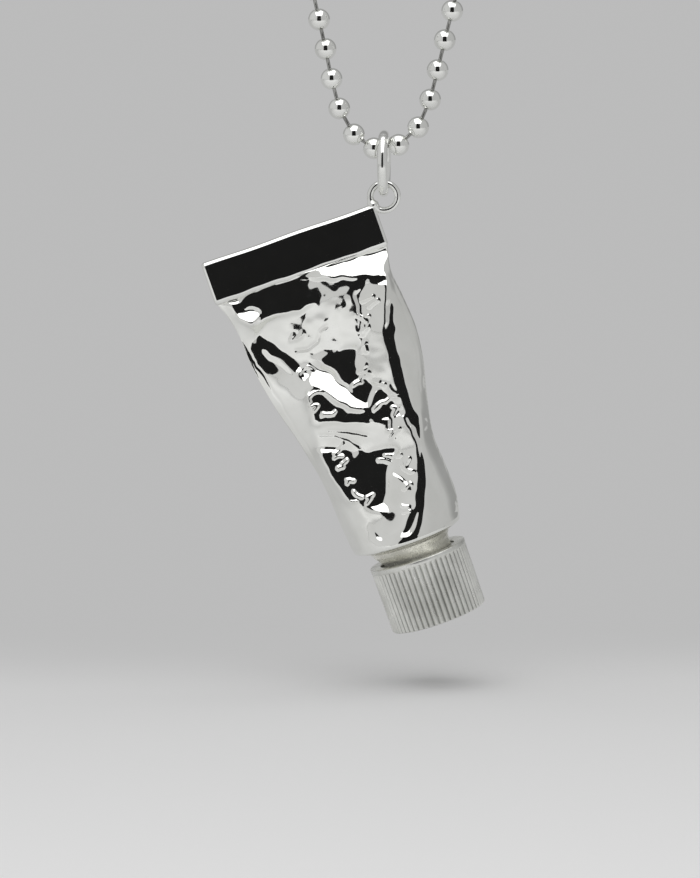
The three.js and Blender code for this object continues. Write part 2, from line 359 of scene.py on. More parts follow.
def band_silver():
    """The band's flat face shows fine scratches along and across it."""
    n = silver("scratched_silver", (0.85, 0.855, 0.83), (0.92, 0.925, 0.90), 0.02, 0.05, 1800, 2e-6)
    along = n.grey_ramp(n.noise(420, 6, 0.75, (1, 1, 14)), 0, 1, (0.60, 0.72))
    cross = n.grey_ramp(n.noise(380, 6, 0.8, (16, 1, 1)), 0, 1, (0.63, 0.75))
    below = n.bump(along, 0.10, 6e-6)
    n.set(Normal=n.bump(cross, 0.08, 6e-6, below))
    return n.material


def neck_silver():
    """Under the shoulder and on the neck, where the polishing wheel didn't reach."""
    n = silver("neck_silver", (0.66, 0.65, 0.58), (0.93, 0.92, 0.85), 0.16, 0.32, 1000, 3.0e-5)
    n.shader.inputs["Metallic"].default_value = 0.55
    return n.material


def satin_silver(name, dark, bright):
    """Fine cast grain, with faint streaks drawn out along the tube."""
    n = silver(name, dark, bright, 0.24, 0.40, 2600, 1.0e-5)
    streaks = n.noise(700, 4, 0.6, (5, 5, 0.7))
    below = n.bump(n.noise(2600, 3), 0.5, 1.2e-5)
    n.set(Normal=n.bump(streaks, 0.35, 1.6e-5, below))
    return n.material


def ring_silver():
    n = silver("ring_silver", (0.82, 0.825, 0.80), (0.92, 0.925, 0.90), 0.04, 0.12, 1400, 3e-6)
    return n.material


def chain_silver():
    n = silver("chain_silver", (0.83, 0.835, 0.81), (0.92, 0.925, 0.90), 0.04, 0.11, 1700, 2e-6)
    return n.material


def pin_painted_shade():
    """The bars between the balls are dull, and their colour is painted dark for the shade that the balls
    cast on them.
    """
    n = silver("pin_painted_shade", (0.26, 0.26, 0.25), (0.40, 0.40, 0.385), 0.15, 0.3, 1700, 2e-6)
    return n.material


def seal_liner():
    n = Nodes("seal_liner")
    n.set(Base_Color=n.ramp(n.noise(900, 4), (0.78, 0.75, 0.68), (0.88, 0.86, 0.80)))
    n.set(Roughness=n.grey_ramp(n.noise(1500, 3), 0.5, 0.7))
    n.set(Normal=n.bump(n.noise(3000, 4), 0.4, 1e-5))
    return n.material


# ---- the chain ------------------------------------------------------------------------------

BALL_COLUMNS = 40
PIN_COLUMNS = 20
CUP_COLUMNS = 48
ON_AXIS = 0.001              # a profile's radius where it meets its axis
link_origin = np.array(LINK)
ball_centres = np.array([(x, 0, z) for x, z in BALL_CENTRES]) * MM + link_origin


def arc(radius, from_angle, to_angle, steps):
    """Points of (radius, height) on a circle about the origin."""
    angle = np.linspace(from_angle, to_angle, steps + 1)
    return list(zip(radius * np.cos(angle), radius * np.sin(angle)))


def ball_shape():
    """A rolled bead: a ball whose two ends are turned in round the bar."""
    edge = math.acos((BALL_HOLE_R + 0.06) / BALL_R)
    top = BALL_R * math.sin(edge)
    dimple = [(0.01, top - 0.16), (BALL_HOLE_R - 0.05, top - 0.14), (BALL_HOLE_R, top - 0.04)]
    profile = [(r, -z) for r, z in dimple] + arc(BALL_R, -edge, edge, 26) + dimple[::-1]
    return turned(profile, BALL_COLUMNS)


def pin_shape(length):
    """A bar that swells where it enters each ball."""
    end = length / 2 - PIN_END
    swollen = PIN_R + PIN_SWELL
    gap = max(length / 2 - BALL_R + 0.15, 0.1)
    upper = [(PIN_R, gap - 0.1), (swollen, gap + 0.1), (swollen, end), (ON_AXIS, end)]
    return turned([(r, -z) for r, z in upper[::-1]] + upper, PIN_COLUMNS)


def ball_chain(material, pin_shade_material):
    """Every ball and bar as one piece: a cord that hangs between its two ends."""
    parts = []
    ball, ball_faces = ball_shape()
    last = len(ball_centres) - 1
    for i, centre in enumerate(ball_centres):
        along = ball_centres[min(i + 1, last)] - ball_centres[max(i - 1, 0)]
        parts.append((aimed(ball * MM, along) + centre, ball_faces))
    for before, after in zip(ball_centres, ball_centres[1:]):
        step = after - before
        pin, pin_faces = pin_shape(float(np.linalg.norm(step)) / MM)
        parts.append((aimed(pin * MM, step) + (before + after) / 2, pin_faces))
    replaced = [f"chain_ball_{i + 1}" for i in range(last + 1)]
    replaced += [f"chain_pin_{i + 1}" for i in range(last)]
    points, faces = joined(parts)
    # the bars take the darker material, whose colour is painted shade from the balls
    face_material = np.zeros(len(faces), np.int32)
    face_material[(last + 1) * len(ball_faces):] = 1
    chain = piece(
        "ball_chain", points, faces, [material, pin_shade_material], "chain", replaced,
        face_material,
    )
    return chain


def chain_end(name, node, centre, outward, material):
    """A cup closed round the end ball, drawn in to a collar with an eye on it."""
    lip = -math.radians(30)
    collar = math.radians(72)
    edge = 0.5 * (CUP_INNER_R + CUP_OUTER_R)
    profile = [(ON_AXIS, CUP_INNER_R)] + arc(CUP_INNER_R, math.radians(85), lip, 16)
    profile += [(edge * math.cos(lip), edge * math.sin(lip) - 0.12)]
    profile += arc(CUP_OUTER_R, lip, collar, 18)
    profile += [(0.42, CUP_OUTER_R + 0.02), (0.4, CUP_OUTER_R + 0.18), (ON_AXIS, CUP_OUTER_R + 0.2)]
    cup = turned(profile, CUP_COLUMNS)
    eye, eye_faces = torus(EYE_R, EYE_WIRE_R, 64, 20)
    eye = eye[:, [0, 2, 1]] * (1, -1, 1) + (0, 0, CUP_OUTER_R + EYE_R)
    points, faces = joined([cup, (eye, eye_faces)])
    points = aimed(points * MM, outward) + centre
    return piece(name, points, faces, [material], "chain_holder", [node])


def make_chain():
    material = chain_silver()
    left = chain_end(
        "left_chain_end", "left_end_eye", ball_centres[0], ball_centres[0] - ball_centres[1], material
    )
    right = chain_end(
        "right_chain_end", "right_end_eye", ball_centres[-1], ball_centres[-1] - ball_centres[-2], material
    )
    return ball_chain(material, pin_painted_shade())


# ---- the rings ------------------------------------------------------------------------------


def make_jump_ring(material):
    """The ring stands across the chain. A faint seam shows where the wire's ends meet."""
    seam_at, seam_width, seam_depth = math.radians(118), 0.02, 0.05

    def seam(angle):
        return 1 - seam_depth * np.exp(-(((angle - seam_at) / seam_width) ** 2))

    low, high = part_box("jump_ring")
    centre = np.array((low + high) / 2)
    points, faces = torus(JUMP_RING_R, JUMP_WIRE_R, 256, 32, seam)
    c, s = math.cos(JUMP_RING_TURN), math.sin(JUMP_RING_TURN)
    away, up, along = points.T
    points = np.stack([along * c - away * s, along * s + away * c, up], axis=1) * MM + centre
    return piece("jump_ring_wire", points, faces, [material], "jump_ring", ["jump_ring"])


def make_bail(material):
    """The bail ring, with solder run in where it meets the band's corner."""
    corner = np.array((BAND_RIGHT, BAND_HIGH - 0.1))
    middle = BAIL - CAP_END
    centre = np.array((middle.dot(TUBE_RIGHT), middle.dot(TUBE_UP))) / MM
    solder_at = math.atan2(*(corner - centre)[::-1]) % (2 * math.pi)

    def solder(angle):
        away = np.abs((angle - solder_at + math.pi) % (2 * math.pi) - math.pi)
        return 1 + 0.9 * np.exp(-((away / 0.34) ** 2)) + 0.03 * np.sin(3 * angle + 1)

    points, faces = torus(BAIL_R, BAIL_WIRE_R, 128, 28, solder)
    local = np.stack([points[:, 0] + centre[0], -points[:, 2], points[:, 1] + centre[1]], axis=1)
    return piece(
        "bail_ring_wire", in_tube_frame(local), faces, [material], "pendant", ["bail_ring"]
    )


# ---- the tube's front relief ------------------------------------------------------------------

# Outlines on the front of the tube, across and up it in millimetres.
PANEL = [
    (-9.1, 36.5), (-7.4, 37.5), (-2.7, 38.0), (3.5, 38.6), (7.2, 38.5), (6.8, 36.3), (5.9, 35.1),
    (4.6, 31.7), (4.2, 27.9), (4.0, 23.0), (4.2, 20.0), (3.0, 15.7), (1.5, 12.7), (-1.0, 11.1),
    (-4.9, 15.0), (-6.2, 18.6), (-6.8, 22.8), (-6.1, 25.1), (-6.1, 28.4), (-6.9, 31.2), (-8.6, 33.6),
]
PILLOW_FRONT = [
    (-11.2, 41.2), (-6.0, 41.5), (-1.8, 40.9), (0.4, 40.4), (1.9, 40.0), (7.4, 39.5), (7.0, 38.6),
    (3.5, 38.3), (-1.7, 38.0), (-4.4, 37.9), (-7.3, 37.6), (-8.9, 37.8), (-10.0, 38.8),
]
PILLOW_TOP_RIGHT = [
    (-1.8, 41.3), (8.4, 41.3), (7.9, 39.6), (7.1, 39.0), (6.0, 38.9), (4.2, 39.1), (1.7, 39.8),
    (0.3, 40.4), (-1.1, 40.8),
]
PILLOW_LEFT_SHINE = [
    (-10.3, 40.0), (-9.0, 39.6), (-7.3, 39.1), (-7.6, 38.4), (-8.6, 38.0), (-9.6, 38.5), (-10.2, 39.2),
]
PILLOW_CORNER_SHINE = [(-11.0, 41.6), (-9.0, 41.2), (-9.7, 40.5), (-10.7, 40.5)]
CRESCENT = [
    (-8.7, 36.2), (-7.2, 34.2), (-6.1, 32.5), (-4.9, 30.6), (-5.2, 30.0), (-6.3, 31.6), (-7.3, 33.2),
    (-8.4, 35.0),
]
UPPER_PATCH = [
    (-3.7, 32.5), (-1.3, 32.0), (0.0, 32.4), (1.5, 32.1), (0.6, 29.2), (0.4, 28.6), (1.7, 27.4),
    (1.3, 26.0), (0.0, 25.3), (-0.8, 26.8), (-2.0, 29.5),
]
FIN = [
    (-4.2, 32.0), (-2.0, 29.5), (-0.8, 26.8), (0.0, 25.3), (-1.6, 25.6), (-3.1, 27.0), (-3.9, 28.4),
    (-5.3, 30.0), (-4.3, 30.8),
]
CROSS_BAND = [
    (-5.8, 29.7), (-4.2, 28.8), (-3.3, 26.8), (-1.6, 25.6), (0.0, 25.3), (1.8, 27.0), (3.2, 26.5),
    (3.9, 23.1), (2.5, 23.5), (-1.2, 23.9), (-4.7, 25.2), (-5.9, 25.1), (-5.9, 27.2),
]
LOWER_PATCH = [
    (-6.8, 22.7), (-5.3, 22.1), (-3.6, 21.2), (-1.9, 20.8), (-0.1, 20.9), (1.9, 20.5), (2.1, 19.8),
    (0.2, 17.9), (-1.1, 14.7), (-2.3, 14.6), (-4.7, 15.6), (-5.6, 17.8), (-6.7, 20.3),
]
RIGHT_RIDGE = [
    (7.0, 36.4), (6.7, 34.2), (5.6, 31.4), (5.3, 28.7), (5.1, 24.8), (5.4, 22.3), (5.3, 20.5),
    (4.3, 17.0), (3.1, 14.2), (1.0, 11.2), (-0.9, 11.2), (0.3, 12.6), (2.0, 13.6), (2.8, 16.0),
    (4.1, 18.9), (4.4, 20.7), (3.9, 23.1), (4.2, 26.2), (4.1, 29.2), (4.6, 31.7), (5.9, 35.1),
]
PANEL_RIGHT = [
    (6.8, 37.8), (6.4, 36.4), (5.9, 35.1), (4.6, 31.7), (4.2, 27.9), (4.1, 23.0), (4.3, 20.0),
    (3.0, 15.7), (1.4, 13.6), (0.6, 18.0), (1.8, 20.4), (2.2, 23.4), (1.9, 27.0), (1.3, 29.5),
    (1.8, 32.0), (2.6, 35.0), (2.8, 37.5),
]
LOWER_BOWL = [
    (-4.8, 15.2), (-1.1, 14.7), (0.2, 17.9), (2.0, 15.4), (1.2, 12.8), (-0.9, 11.2), (-3.2, 11.0),
]
BOWL_SHINE = [(-2.9, 14.9), (-1.3, 14.8), (-1.0, 13.9), (-1.6, 13.5), (-2.6, 14.1)]

# Each area, and which way it faces: degrees to the right and degrees upward. Those that face near
# the front mirror the black card, those turned left the grey tent, and those turned up the light.
# A later area covers an earlier one.
RELIEF = [
    (PANEL, -16, -4),
    (PANEL_RIGHT, -19, 3),
    (LOWER_BOWL, -16, 3),
    (BOWL_SHINE, 0, 34),
    (PILLOW_FRONT, 3, 10),
    (PILLOW_TOP_RIGHT, 2, 34),
    (PILLOW_LEFT_SHINE, 0, 38),
    (PILLOW_CORNER_SHINE, 0, 38),
    (CRESCENT, 0, 10),
    (UPPER_PATCH, 5, 11),
    (CROSS_BAND, 4, 11),
    (FIN, 0, 36),
    (LOWER_PATCH, 4, 11),
    (RIGHT_RIDGE, 1, 10),
]

GRID = 0.1                   # spacing of the relief's height map
PASSES = 100                 # of the solver
PIN_REACH = 1.5              # how far round a pinned point the relief is pulled back to its base
LOOSE_PIN = 0.004            # how firmly the rest is held to its base
LOOSE_TRUST = 0.06           # how far the base's own slopes count between the areas
OUTLINE_SOFT = 0.13          # how softly one area's lean gives way to the next
OUTLINE_FREE = 0.2           # how wide a strip round each outline is left to find its own slope
CREASE_WIDTH = 0.13
MARK_HEIGHT = 0.17
GRID_X = np.arange(-13.5, 10.0, GRID)
GRID_Z = np.arange(8.0, 44.0, GRID)

# Creases in the flanks and cracks in the front: how deep each is, and the points it runs through.
CREASES = [
    (0.03, [
        (-11.0, 39.5), (-10.4, 36.5), (-9.9, 33.2), (-8.9, 29.2), (-8.0, 24.7), (-7.0, 20.0), (-6.6, 16.5),
    ]),
    (0.05, [(7.3, 37.8), (7.5, 34.7), (7.4, 29.6), (6.4, 25.0)]),
    (0.09, [(-1.2, 35.2), (-2.0, 34.9), (-2.7, 33.8), (-4.0, 33.4), (-5.2, 33.6)]),
    (0.05, [(-5.8, 24.0), (-4.1, 23.5), (-2.9, 22.5), (-2.1, 21.5)]),
    (0.05, [(-4.6, 24.2), (-2.6, 23.4), (-0.9, 22.4)]),
]

left_edge = curve_through(LEFT_EDGE)
right_edge = curve_through(RIGHT_EDGE)
half_thickness = curve_through(HALF_THICKNESS)


def blurred(field, sigma):
    """A Gaussian blur by Fourier transform of the mirrored field."""
    rows, columns = field.shape
    full = np.block([[field, field[:, ::-1]], [field[::-1], field[::-1, ::-1]]])
    wx = np.fft.fftfreq(2 * columns, GRID) * 2 * math.pi
    wz = np.fft.fftfreq(2 * rows, GRID) * 2 * math.pi
    soft = np.exp(-0.5 * sigma**2 * (wx[None, :] ** 2 + wz[:, None] ** 2))
    return np.real(np.fft.ifft2(np.fft.fft2(full) * soft))[:rows, :columns]


def soft_noise(seed, sigma):
    """Smooth random waves of about unit height."""
    random = np.random.default_rng(seed)
    field = blurred(random.standard_normal((len(GRID_Z), len(GRID_X))), sigma)
    return field / field.std()


def inside(outline, x, z):
    """Which points lie inside an outline."""
    hit = np.zeros(x.shape, bool)
    for (ax, az), (bx, bz) in zip(outline, outline[1:] + outline[:1]):
        if az == bz:
            continue
        crosses = (az > z) != (bz > z)
        at = ax + (z - az) * (bx - ax) / (bz - az)
        hit ^= crosses & (x < at)
    return hit


def lean_slopes(right, up):
    """The slopes of a front that faces so many degrees right and up, across and up the tube."""
    across, rise = -math.tan(math.radians(right)), -math.tan(math.radians(up))
    c, s = math.cos(TILT), math.sin(TILT)
    return across * c + rise * s, -across * s + rise * c


def heights_from_slopes(slope_x, slope_z, trust, base, pin):
    """The height map whose slopes come nearest to those given, where they are trusted.

    It is pinned to a base map. Each pass takes what isn't trusted or pinned from the map before it,
    then solves the whole mirrored field at once by Fourier transform.
    """
    rows, columns = slope_x.shape
    wx = (np.fft.rfftfreq(2 * columns, GRID) * 2 * math.pi)[None, :]
    wz = (np.fft.fftfreq(2 * rows, GRID) * 2 * math.pi)[:, None]
    pull = 1 / PIN_REACH**2
    height = ahead = base
    for step in range(PASSES):
        now_z, now_x = np.gradient(ahead, GRID)
        to_x, to_z = now_x + trust * (slope_x - now_x), now_z + trust * (slope_z - now_z)
        to = ahead + pin * (base - ahead)
        full_x = np.block([[to_x, -to_x[:, ::-1]], [to_x[::-1], -to_x[::-1, ::-1]]])
        full_z = np.block([[to_z, to_z[:, ::-1]], [-to_z[::-1], -to_z[::-1, ::-1]]])
        full = np.block([[to, to[:, ::-1]], [to[::-1], to[::-1, ::-1]]])
        top = -1j * wx * np.fft.rfft2(full_x) - 1j * wz * np.fft.rfft2(full_z) + pull * np.fft.rfft2(full)
        before, height = height, np.fft.irfft2(top / (wx**2 + wz**2 + pull), full.shape)[:rows, :columns]
        ahead = height + step / (step + 3) * (height - before)
    return height


def base_front(x, z):
    """The plain squeezed section's front height at each point, and how far across it that is: -1 to 1."""
    left, right = left_edge(z), right_edge(z)
    across = (x - (left + right) / 2) / ((right - left) / 2)
    lean = SQUEEZE_LEAN * smoothstep(z, TUBE_BASE, SQUEEZE_FULL)
    inner = np.clip(across, -0.995, 0.995)
    return half_thickness(z) * np.sqrt(1 - inner**2) * (1 + lean * inner), across


def raised_marks(x, z):
    """Two columns of small raised strokes and dots that form no letters."""
    random = np.random.default_rng(11)
    height = np.zeros_like(x)
    columns = [
        [(-5.4, 35.3), (-4.2, 34.6), (-5.0, 31.6), (-5.2, 28.6), (-5.6, 27.4), (-4.4, 26.0), (-4.5, 21.4),
         (-4.5, 20.1), (-4.0, 18.1), (-4.3, 16.3), (-3.0, 15.7)],
        [(4.4, 36.2), (3.1, 34.6), (2.6, 33.2), (2.3, 31.6), (1.6, 29.5), (0.4, 28.3), (2.2, 27.2),
         (3.0, 25.8), (1.7, 25.0), (2.8, 23.9), (2.2, 22.1), (0.6, 19.5), (1.7, 19.2), (2.6, 17.8),
         (2.0, 15.6), (1.0, 13.3)],
    ]
    for column in columns:
        for cx, cz in column:
            for _ in range(2):
                along = random.uniform(0.25, 0.75)
                angle = random.uniform(-0.5, 0.9) + (0 if random.random() < 0.75 else 1.4)
                width = random.uniform(0.15, 0.23)
                bend = random.uniform(-0.5, 0.5)
                ox, oz = cx + random.uniform(-0.5, 0.5), cz + random.uniform(-0.45, 0.45)
                u = (x - ox) * math.cos(angle) + (z - oz) * math.sin(angle)
                v = -(x - ox) * math.sin(angle) + (z - oz) * math.cos(angle) - bend * u * u
                away = np.hypot(np.maximum(np.abs(u) - along, 0), v) / width
                height = np.maximum(height, MARK_HEIGHT * np.exp(-(away**2) * 1.1))
    return height


def near_line(x, z, line):
    """How far each point is from a line drawn through several points."""
    away = np.full(x.shape, 99.0)
    for (ax, az), (bx, bz) in zip(line, line[1:]):
        dx, dz = bx - ax, bz - az
        share = np.clip(((x - ax) * dx + (z - az) * dz) / (dx * dx + dz * dz), 0, 1)
        away = np.minimum(away, np.hypot(x - ax - share * dx, z - az - share * dz))
    return away


def front_relief():
    """The height map of the tube's front, and where the body keeps to its plain section instead.

    Flat, hollow and bulging areas run into each other, with creases and raised marks on top.
    """
    x, z = np.meshgrid(GRID_X, GRID_Z)
    base, across = base_front(x, z)
    slope_x = np.clip(np.gradient(base, GRID, axis=1), -2.2, 2.2)
    slope_z = np.clip(np.gradient(base, GRID, axis=0), -1.0, 1.0)
    trust = np.full(x.shape, LOOSE_TRUST)
    warp_x = 0.14 * soft_noise(1, 0.55) + 0.06 * soft_noise(2, 0.22)
    warp_z = 0.14 * soft_noise(3, 0.55) + 0.06 * soft_noise(4, 0.22)
    for outline, right, up in RELIEF:
        filled = inside(outline, x + warp_x, z + warp_z).astype(float)
        mask, wide = blurred(filled, OUTLINE_SOFT), blurred(filled, OUTLINE_FREE)
        target_x, target_z = lean_slopes(right, up)
        slope_x = slope_x * (1 - mask) + target_x * mask
        slope_z = slope_z * (1 - mask) + target_z * mask
        trust = (trust * (1 - mask) + mask) * (1 - np.sqrt(np.clip(4 * wide * (1 - wide), 0, 0.98)))
    hold = smoothstep(np.abs(across), 0.985, 0.999)
    ends = np.maximum(1 - smoothstep(z, TUBE_BASE + 0.3, TUBE_BASE + 1.6), smoothstep(z, 41.2, 41.5))
    pin = np.maximum(np.maximum(hold, ends), LOOSE_PIN)
    front = heights_from_slopes(slope_x, slope_z, trust, base, pin)
    for depth, line in CREASES:
        front -= depth * np.exp(-((near_line(x + 0.5 * warp_x, z, line) / CREASE_WIDTH) ** 2))
    wave = 0.022 * soft_noise(5, 0.9) + 0.006 * soft_noise(6, 0.35)
    front += wave * smoothstep(-np.abs(across), -0.95, -0.7) * (1 - ends)
    front += raised_marks(x, z)
    return front, hold


def sampled(field, x, z):
    """A height map read between its points."""
    fx = np.clip((x - GRID_X[0]) / GRID, 0, len(GRID_X) - 1.001)
    fz = np.clip((z - GRID_Z[0]) / GRID, 0, len(GRID_Z) - 1.001)
    ix, iz = fx.astype(int), fz.astype(int)
    tx, tz = fx - ix, fz - iz
    low = field[iz, ix] * (1 - tx) + field[iz, ix + 1] * tx
    high = field[iz + 1, ix] * (1 - tx) + field[iz + 1, ix + 1] * tx
    return low * (1 - tz) + high * tz


# ---- the tube -------------------------------------------------------------------------------

TUBE_COLUMNS = 400
SHOULDER_ROWS = 8
SHOULDER_RIM = ((6.06, 9.74), (6.17, 9.79), (6.25, 9.88), (6.29, 10.0), (BASE_R, 10.12))
BODY_ROW = 0.12              # from one ring of the body to the next
ring_angle = np.linspace(0, 2 * math.pi, TUBE_COLUMNS, endpoint=False)


def body_rings():
    """From the shoulder to the fold, with the relief in front and gentle waves behind."""
    front, hold = front_relief()
    back_waves = 0.10 * soft_noise(21, 1.6) + 0.03 * soft_noise(22, 0.6)
    u, v = np.cos(ring_angle), np.sin(ring_angle)
    rings = []
    for z in np.arange(TUBE_BASE + 0.2, TUBE_TOP, BODY_ROW):
        left, right = left_edge(z), right_edge(z)
        x = (left + right) / 2 + (right - left) / 2 * u
        lean = SQUEEZE_LEAN * smoothstep(z, TUBE_BASE, SQUEEZE_FULL)
        plain = half_thickness(z) * v * (1 + lean * u)
        heights = np.full(TUBE_COLUMNS, z)
        low_hold = 1 - smoothstep(z, TUBE_BASE + 0.2, TUBE_BASE + 0.8)
        high_hold = smoothstep(z, TUBE_TOP - 0.3, TUBE_TOP)
        keep = np.maximum(sampled(hold, x, heights), max(low_hold, high_hold))
        carved = -sampled(front, x, heights)
        y = np.where(v < 0, plain * keep + carved * (1 - keep), plain)
        back = smoothstep(v, 0.1, 0.6) * (1 - max(low_hold, high_hold))
        y = y + back * sampled(back_waves, x, heights)
        rings.append(np.stack([x, y, heights], axis=1))
    return rings


def thread_ridge(turn):
    """How far a thread stands out, as a share of its rise, so many turns from its crest."""
    away = np.minimum(turn % 1, 1 - turn % 1)
    return np.sqrt(np.clip(1 - 3.8 * away, 0, 1))


def round_ring(radius, z, shift=0.0, thread=False):
    reach = np.full(TUBE_COLUMNS, radius)
    if thread:
        fade = smoothstep(z, NECK_END + 0.2, NECK_END + 0.8) * (1 - smoothstep(z, 6.5, 7.1))
        reach = reach + THREAD_RISE * thread_ridge(z / THREAD_PITCH - ring_angle / (2 * math.pi)) * fade
    heights = np.full(TUBE_COLUMNS, z)
    return np.stack([shift + reach * np.cos(ring_angle), reach * np.sin(ring_angle), heights], axis=1)


def neck_rings():
    """From the floor of the mouth, out over its rim, up the thread and collar to the shoulder."""
    floor = NECK_END + NECK_MOUTH_DEPTH
    rings = [round_ring(r, floor) for r in (0.02, 0.9, NECK_MOUTH_R - 0.1)]
    rings += [round_ring(NECK_MOUTH_R, z) for z in (floor - 0.1, NECK_END + 0.9, NECK_END + 0.12)]
    rings += [round_ring(NECK_MOUTH_R + 0.04, NECK_END + 0.03), round_ring(NECK_MOUTH_R + 0.12, NECK_END)]
    rings += [round_ring(r, NECK_END) for r in (2.2, NECK_R - 0.25)]
    rings += [round_ring(NECK_R - 0.08, NECK_END + 0.07), round_ring(NECK_R, NECK_END + 0.25)]
    rings += [round_ring(NECK_R, z, thread=True) for z in np.arange(NECK_END + 0.33, 7.0, 0.08)]
    rings += [round_ring(NECK_R + 0.1, 7.1), round_ring(NECK_COLLAR_R - 0.08, 7.2)]
    rings += [round_ring(NECK_COLLAR_R, z) for z in (7.3, 7.55)]
    for t in np.linspace(0.06, 1, 16):
        reach = NECK_COLLAR_R + (NECK_FLARE_R - NECK_COLLAR_R) * t**1.2
        rings.append(round_ring(reach, 7.6 + (NECK_FLARE_HIGH - 7.6) * t, SHOULDER_SHIFT * min(1.6 * t, 1)))
    for t in np.linspace(0.1, 1, SHOULDER_ROWS):
        reach, shift = NECK_FLARE_R + 1.3 * t, SHOULDER_SHIFT - 0.03 * t
        rings.append(round_ring(reach, NECK_FLARE_HIGH + 0.46 * t, shift))
    return rings + [round_ring(r, z, BASE_SHIFT) for r, z in SHOULDER_RIM]


def make_tube(polished, unpolished):
    """One skin: the neck up to the shoulder's rim is unpolished, and the body is polished."""
    neck = neck_rings()
    rings = np.array(neck + body_rings())
    points, faces = ring_stack(rings)
    neck_faces = (len(neck) - len(SHOULDER_RIM)) * TUBE_COLUMNS
    end_fans = (len(rings) - 1) * TUBE_COLUMNS
    material = np.zeros(len(faces), np.int32)
    material[:neck_faces] = 1
    material[end_fans::2] = 1        # the two fans' faces alternate, and the first fan is the mouth's floor
    return piece(
        "tube_skin", in_tube_frame(points), faces, [polished, unpolished], "pendant",
        ["tube_body"], material,
    )


def make_band(material):
    """The folded end: a flat-faced bar with round folds, eased ends and slightly wavy long edges."""
    height, half = BAND_HIGH - BAND_LOW, BAND_T / 2
    middle = (BAND_LOW + BAND_HIGH) / 2
    onto_flat = 0.04             # a short step that keeps the shading of the flats flat
    quarter = np.linspace(0, math.pi / 2, 9)
    section = []
    for corner, (sy, sz) in enumerate([(-1, -1), (1, -1), (1, 1), (-1, 1)]):
        turns = quarter + math.pi + corner * math.pi / 2
        points = [(BAND_FOLD_R * math.cos(a), BAND_FOLD_R * math.sin(a)) for a in turns]
        first, last = turns[0], turns[-1]
        before = (points[0][0] + onto_flat * math.sin(first), points[0][1] - onto_flat * math.cos(first))
        after = (points[-1][0] - onto_flat * math.sin(last), points[-1][1] + onto_flat * math.cos(last))
        for y, z in [before, *points, after]:
            section.append((sy * (half - BAND_FOLD_R) + y, sz * (height / 2 - BAND_FOLD_R) + z))
    section = np.array(section)
    eased = BAND_END_R * (1 - np.cos(quarter))
    inset = BAND_END_R * (1 - np.sin(quarter))
    flat_ends = (BAND_LEFT + BAND_END_R + onto_flat, BAND_RIGHT - BAND_END_R - onto_flat)
    flat = np.concatenate([flat_ends[:1], np.linspace(BAND_LEFT, BAND_RIGHT, 90)[3:-3], flat_ends[1:]])
    along = np.concatenate([BAND_LEFT + eased, flat, BAND_RIGHT - eased[::-1]])
    inset = np.concatenate([inset, np.zeros(len(flat)), inset[::-1]])
    rings = []
    for x, pull in zip(along, inset):
        low_wave = 0.06 * math.sin(0.9 * x + 0.5) + 0.03 * math.sin(2.3 * x)
        top_wave = 0.04 * math.sin(0.6 * x + 2.0)
        y = section[:, 0] * (1 - pull / half)
        z = section[:, 1] * (1 - pull / (height / 2))
        z = z + np.where(z < 0, low_wave, top_wave) * np.abs(z) / (height / 2)
        rings.append(np.stack([np.full(len(section), x), y, middle + z], axis=1))
    points, faces = ring_stack(np.array(rings))
    faces = [face[::-1] for face in faces]
    return piece(
        "folded_end", in_tube_frame(points), faces, [material], "pendant", ["fold_band"]
    )


# ---- the cap --------------------------------------------------------------------------------

COLUMNS_PER_RIB = 8
CAP_COLUMNS = CAP_RIBS * COLUMNS_PER_RIB
SEAL_COLUMNS = 96
cap_angle = np.linspace(0, 2 * math.pi, CAP_COLUMNS, endpoint=False)


def cap_ring(radius, z, ribs=0.0, ridge=0.0):
    """A ring of the cap, with a share of the outer ribs' depth or of the inner thread's rise."""
    wave = 0.5 - 0.5 * np.cos(CAP_RIBS * cap_angle)
    reach = radius - ribs * CAP_RIB_DEPTH * (1 - wave**0.6)
    if ridge:
        turn = z / THREAD_PITCH - cap_angle / (2 * math.pi)
        reach = reach - ridge * THREAD_RISE * thread_ridge(turn - 0.5)
    heights = np.full(CAP_COLUMNS, z)
    return np.stack([reach * np.cos(cap_angle), reach * np.sin(cap_angle), heights], axis=1)


